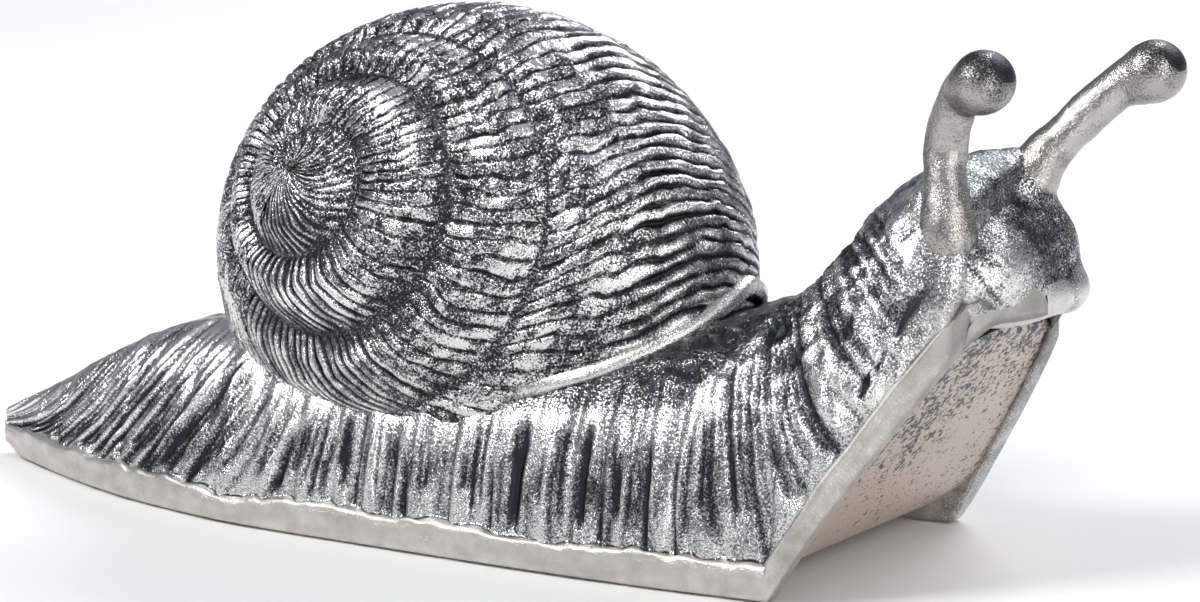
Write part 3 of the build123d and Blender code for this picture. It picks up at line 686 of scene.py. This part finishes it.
def eye_stalk(name, path, node, seed):
    """A profile turned round a bent centre line: a swollen root, a waist and a club ending in a half ball."""
    path = np.array(path)
    knots = np.append(0.0, np.cumsum(np.linalg.norm(np.diff(path, axis=0), axis=1)))
    length = knots[-1]
    ball_steps = length + EYE * np.sin(np.linspace(0.0, 0.5 * np.pi, 24))
    s = np.concatenate([np.linspace(0.0, length - 0.3, 90), ball_steps])[:, None]
    slopes = np.gradient(path, knots, axis=0)
    i = np.clip(np.searchsorted(knots, s[:, 0], side="right") - 1, 0, len(knots) - 2)
    h = np.diff(knots)[i][:, None]
    u = np.clip((s - knots[i][:, None]) / h, 0.0, 1.0)
    line = (1 + 2 * u) * (1 - u) ** 2 * path[i] + u * u * (3 - 2 * u) * path[i + 1]
    line = line + h * (u * (1 - u) ** 2 * slopes[i] - u * u * (1 - u) * slopes[i + 1])
    line = line + np.maximum(s - length, 0.0) * slopes[-1]
    along = np.gradient(line, axis=0)
    along = along / np.linalg.norm(along, axis=1, keepdims=True)
    side = np.cross(along, np.array([0.0, 1.0, 0.0]))
    side = side / np.linalg.norm(side, axis=1, keepdims=True)
    other = np.cross(along, side)
    rod = STALK + 1.6 * np.exp(-((s - knots[1]) / 7.0) ** 2) - 2.2 * (1 - ease(s, 0.0, 0.8 * knots[1]))
    club = rod + (EYE - rod) * ease(s, length - 9.0, length - 0.5)
    radius = club * np.sqrt(np.clip(1 - (np.maximum(s - length, 0.0) / EYE) ** 2, 0.0, None))
    turn = np.linspace(0.0, 2 * np.pi, 64, endpoint=False)[None]
    round_x, round_y = np.cos(turn), np.sin(turn)
    rough = 0.16 * grain(s / 2.6, 1.6 * round_x + 5.0, seed)
    rough = rough + 0.14 * grain(s / 6.0, 2.0 * round_y + 9.0, seed + 1)
    rough = rough + 0.08 * grain(s / 1.1, 5.0 * round_x + 3.0 * round_y + 30.0, seed + 3)
    waver = 0.2 * grain(s / 3.0, 1.0, seed)
    seam = 0.45 * np.exp(-((turn - 4.6 - waver) / 0.14) ** 2)
    seam = seam - 0.45 * np.exp(-((turn - 4.3 - waver) / 0.13) ** 2)
    smooth = ease(s, length - EYE, length)
    uneven = rough * (1 - 0.7 * smooth) + seam * (1 - smooth) * ease(s, 10.0, 15.0)
    radius = radius + uneven * ease(radius, 0.2, 2.0)
    spoke = side[:, None] * round_x[..., None] + other[:, None] * round_y[..., None]
    points = line[:, None] + spoke * radius[..., None]
    outward = points - path[-1]
    outward = outward / np.maximum(np.linalg.norm(outward, axis=-1, keepdims=True), 1e-6)
    # Painted reflection: a dark cap on each polished ball towards the upper front
    dark_reflection = ease(outward @ (REFLECTION_WAY / np.linalg.norm(REFLECTION_WAY)), 0.84, 0.92) * ease(s, length - EYE * 0.7, length)
    crown = ease(outward @ CROWN, 0.15, 0.8) * ease(s, length - 1.3 * EYE, length - 0.3 * EYE)
    root = 1 - ease(s, 0.8 * knots[1], knots[1] + 7.0)
    # Painted shade: the side of each stalk towards the tail is darker, broken into streaks
    back_shade = ease(-spoke[..., 0], 0.35, 0.9)
    mottle = grain(s / 8.0, 7.0 * round_x + 4.0 * round_y, seed + 5)
    streaks = 0.6 + 0.4 * grain(s / 9.0, 9.0 * round_y, seed + 4)
    wear = STALK_WEAR + 0.12 * grain(s / 3.0, 2.0 * round_x + 2.0, seed + 2)
    wear = wear - 0.5 * np.clip(-seam, 0, 1) - 0.8 * dark_reflection - 0.16 * crown
    wear = wear - 0.10 * root * (1 + mottle) - 0.05 * smooth * (1 - dark_reflection) - 0.16 * back_shade * streaks
    band = 0.2 * (1 - smooth) + 0.0 * wear
    make_piece(name, ground_frame(points), grid_faces(*wear.shape, close_cols=True),
               {"wear": wear, "band": band, "pepper": 1.0 + 1.2 * crown + 0.8 * root},
               stalk_metal, node)


# Centre lines from the root in the head to the middle of the ball
right_path = [
    (224.0, -15.0, 61.5),
    (222.8, -16.5, 69.8),
    (221.5, -15.2, 78.5),
    (220.9, -13.8, 86.0),
    (222.7, -15.0, 92.4),
    (224.9, -16.0, 96.0),
    (230.4, -18.0, 99.6),
]
left_path = [
    (224.0, 7.5, 65.5),
    (226.8, 11.6, 75.2),
    (230.0, 13.4, 81.0),
    (235.5, 16.0, 87.4),
    (242.4, 19.0, 94.2),
    (249.0, 21.3, 97.6),
]
eye_stalk("right_stalk", right_path, "right_eye_stalk", 3)
eye_stalk("left_stalk", left_path, "left_eye_stalk", 6)

# Sole plate. A bent sheet let into the rim and screwed from below; bare cast metal,
# warm grey, with dark pits that gather in blots and crowd towards the chin.
PIT_SCALE, BLOT_SCALE, CLOUD_SCALE = 1500.0, 420.0, 45.0
PIT_BLACK = (0.06, 0.065, 0.075)
PIT_EDGE = (0.34, 0.30, 0.27)
SOLE_WARM = (0.60, 0.515, 0.455)
sole_metal, tree, shader, place = new_material("pitted_sole")
drawn = tree.nodes.new("ShaderNodeMapping")
drawn.inputs["Scale"].default_value = (1.0, 0.5, 1.0)
tree.links.new(place, drawn.inputs["Vector"])
pits = noise_node(tree, drawn.outputs["Vector"], PIT_SCALE, 3.0, 0.65)
cloud = noise_node(tree, place, CLOUD_SCALE, 2.0)
height = tree.nodes.new("ShaderNodeSeparateXYZ")
tree.links.new(place, height.inputs["Vector"])
crowd = sum_node(tree, pits, cloud, 0.35)
crowd = sum_node(tree, crowd, height.outputs["Z"], -4.4)
blots = noise_node(tree, place, BLOT_SCALE, 2.0, 0.6)
crowd = sum_node(tree, crowd, centred_node(tree, blots), 0.5)
tone = ramp_node(tree, crowd, [(0.42, PIT_BLACK), (0.46, PIT_EDGE), (0.50, SOLE_WARM)])
tree.links.new(tone, shader.inputs["Base Color"])
shader.inputs["Metallic"].default_value = 0.85
shader.inputs["Roughness"].default_value = 0.42
bump_node(tree, shader, pits, 0.0003, 0.7)

# Steel fixings. Shell screws with washers, sole screws and stalk pins, all plain zinc
# steel and hidden once the part is together.
steel, tree, shader, place = new_material("zinc_steel")
streak = noise_node(tree, place, 900.0, 2.0)
tone = ramp_node(tree, streak, [(0.3, (0.42, 0.42, 0.43)), (0.7, (0.60, 0.60, 0.61))])
tree.links.new(tone, shader.inputs["Base Color"])
shader.inputs["Metallic"].default_value = 1.0
shader.inputs["Roughness"].default_value = 0.35

# Felt sole. A dark sheet of pressed wool, glued under the flat of the plate, on which
# the snail stands.
felt, tree, shader, place = new_material("dark_felt")
fluff = noise_node(tree, place, 2200.0, 4.0, 0.7)
tone = ramp_node(tree, fluff, [(0.3, (0.02, 0.022, 0.022)), (0.7, (0.06, 0.063, 0.063))])
tree.links.new(tone, shader.inputs["Base Color"])
shader.inputs["Roughness"].default_value = 0.95
bump_node(tree, shader, fluff, 0.0004)

for node, material in (("sole_plate", sole_metal), ("stalk_pins", steel), ("shell_screws", steel),
                       ("shell_screw_washers", steel), ("sole_screws", steel), ("felt_sole", felt)):
    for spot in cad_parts[node].material_slots:
        spot.material = material

# Stage. A pale floor, three soft lamps under a dim sky, and the camera at the
# photograph's angle; none of it belongs to the part.
floor_mesh = bpy.data.meshes.new("floor")
floor_mesh.from_pydata([(-4, -4, 0), (4, -4, 0), (4, 4, 0), (-4, 4, 0)], [], [(0, 1, 2, 3)])
floor = bpy.data.objects.new("floor", floor_mesh)
bpy.context.scene.collection.objects.link(floor)
paper, tree, shader, place = new_material("pale_floor")
shader.inputs["Base Color"].default_value = (0.90, 0.895, 0.885, 1.0)
shader.inputs["Roughness"].default_value = 0.8
floor_mesh.materials.append(paper)


def facing(place, back):
    """Matrix of a lamp or camera at place, level from side to side, that looks away from back."""
    back = np.array(back) / np.linalg.norm(back)
    right = np.cross([0.0, 0.0, 1.0], back)
    right = right / np.linalg.norm(right)
    turn = np.eye(4)
    turn[:3] = np.stack([right, np.cross(back, right), back, np.array(place)], 1)
    return Matrix(turn.tolist())


LAMP_AIM = np.array([0.0, 0.0, 0.05])


def soft_lamp(name, place, size, power, colour):
    """A soft rectangle of light at place, turned to the middle of the part."""
    data = bpy.data.lights.new(name, "AREA")
    data.shape = "RECTANGLE"
    data.size, data.size_y = size
    data.energy = power
    data.color = colour
    lamp = bpy.data.objects.new(name, data)
    bpy.context.scene.collection.objects.link(lamp)
    lamp.matrix_world = facing(place, np.array(place) - LAMP_AIM)


soft_lamp("key_lamp", (-0.6, -0.9, 1.1), (0.6, 0.6), 16.0, (1.0, 0.99, 0.97))
soft_lamp("side_lamp", (1.1, -0.6, 0.45), (0.35, 0.9), 6.0, (1.0, 0.98, 0.95))
soft_lamp("back_lamp", (0.2, 1.0, 1.0), (1.0, 0.5), 12.0, (0.96, 0.98, 1.0))

world = bpy.context.scene.world or bpy.data.worlds.new("studio")
bpy.context.scene.world = world
world.use_nodes = True
tree = world.node_tree
sky = tree.nodes["Background"]
way = tree.nodes.new("ShaderNodeTexCoord").outputs["Generated"]
split = tree.nodes.new("ShaderNodeSeparateXYZ")
tree.links.new(way, split.inputs["Vector"])
sky_stops = [
    (0.0, (0.80, 0.79, 0.78)),
    (0.03, (0.36, 0.37, 0.39)),
    (0.2, (0.16, 0.17, 0.19)),
    (0.5, (0.26, 0.28, 0.31)),
    (1.0, (0.42, 0.45, 0.50)),
]
tone = ramp_node(tree, split.outputs["Z"], sky_stops)
tree.links.new(tone, sky.inputs["Color"])
sky.inputs["Strength"].default_value = 1.0

# The camera stands back from the point in the middle of the picture, where the photograph
# has PIXELS_PER_MM of its width to each millimetre of the part
AZIMUTH, ELEVATION, DISTANCE = np.radians(28.0), np.radians(11.5), 1.05
VIEW_MIDDLE = np.array([149.0, -18.0, 50.0])
SENSOR, PIXELS_PER_MM, PHOTO_WIDTH = 36.0, 5.1, 1200.0
level = np.cos(ELEVATION)
back = np.array([np.sin(AZIMUTH) * level, -np.cos(AZIMUTH) * level, np.sin(ELEVATION)])
view = bpy.data.cameras.new("view")
view.sensor_width = SENSOR
view.lens = SENSOR * PIXELS_PER_MM * DISTANCE / MM / PHOTO_WIDTH
view.clip_end = 20.0
camera = bpy.data.objects.new("view", view)
bpy.context.scene.collection.objects.link(camera)
camera.matrix_world = facing(ground_frame(VIEW_MIDDLE) + back * DISTANCE, back)
bpy.context.scene.camera = camera
bpy.context.scene.view_settings.view_transform = "Standard"
